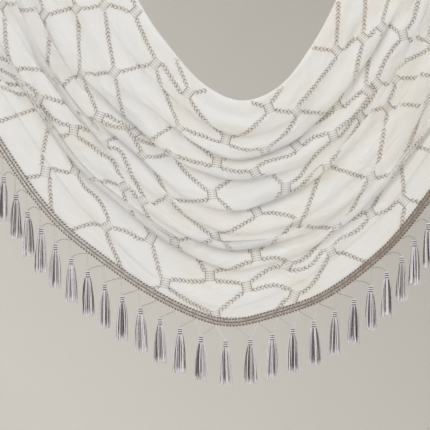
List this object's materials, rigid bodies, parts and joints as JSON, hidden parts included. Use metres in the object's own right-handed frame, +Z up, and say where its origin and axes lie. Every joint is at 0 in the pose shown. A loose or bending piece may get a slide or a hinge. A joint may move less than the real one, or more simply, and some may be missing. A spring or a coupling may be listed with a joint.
{
  "type": "waterfall valance",
  "caption": "Sheer waterfall valance: a swag gathered at its shoulders, falling in soft cross folds, with a stitched diamond trellis and a gimp braid and hanging tassels along the hem.",
  "frame": {"origin": "middle of the rod line, level with the top edges of both gathered shoulders", "axes": "+X to the right seen from the front, +Y to the back, +Z up; the front faces -Y"},
  "size_m": [1.15, 0.0492, 0.896],
  "materials": {
    "sheer_cloth": "sheer plain weave, soft and matt",
    "woven_braid": "woven gimp with a low sheen",
    "silky_yarn": "silky spun yarn with a soft sheen"
  },
  "bodies": {
    "root": {"valance_cloth": "sheer_cloth", "gimp_braid": "woven_braid", "tassel_01": "silky_yarn", "tassel_02": "silky_yarn", "tassel_03": "silky_yarn", "tassel_04": "silky_yarn", "tassel_05": "silky_yarn", "tassel_06": "silky_yarn", "tassel_07": "silky_yarn", "tassel_08": "silky_yarn", "tassel_09": "silky_yarn", "tassel_10": "silky_yarn", "tassel_11": "silky_yarn", "tassel_12": "silky_yarn", "tassel_13": "silky_yarn", "tassel_14": "silky_yarn", "tassel_15": "silky_yarn", "tassel_16": "silky_yarn", "tassel_17": "silky_yarn", "tassel_18": "silky_yarn", "tassel_19": "silky_yarn", "tassel_20": "silky_yarn", "tassel_21": "silky_yarn", "tassel_22": "silky_yarn", "tassel_23": "silky_yarn", "tassel_24": "silky_yarn", "tassel_25": "silky_yarn", "tassel_26": "silky_yarn", "tassel_27": "silky_yarn", "tassel_28": "silky_yarn", "tassel_29": "silky_yarn", "tassel_30": "silky_yarn", "tassel_31": "silky_yarn", "tassel_32": "silky_yarn", "tassel_33": "silky_yarn", "tassel_34": "silky_yarn", "tassel_35": "silky_yarn", "tassel_36": "silky_yarn", "tassel_37": "silky_yarn", "tassel_38": "silky_yarn", "tassel_39": "silky_yarn", "tassel_40": "silky_yarn", "tassel_41": "silky_yarn", "tassel_42": "silky_yarn", "tassel_43": "silky_yarn", "tassel_44": "silky_yarn", "tassel_45": "silky_yarn", "tassel_46": "silky_yarn", "tassel_47": "silky_yarn", "tassel_48": "silky_yarn", "tassel_49": "silky_yarn", "tassel_50": "silky_yarn", "tassel_51": "silky_yarn", "tassel_52": "silky_yarn", "tassel_53": "silky_yarn", "tassel_54": "silky_yarn", "tassel_55": "silky_yarn", "tassel_56": "silky_yarn", "tassel_57": "silky_yarn", "tassel_58": "silky_yarn"}
  },
  "joints": []
}
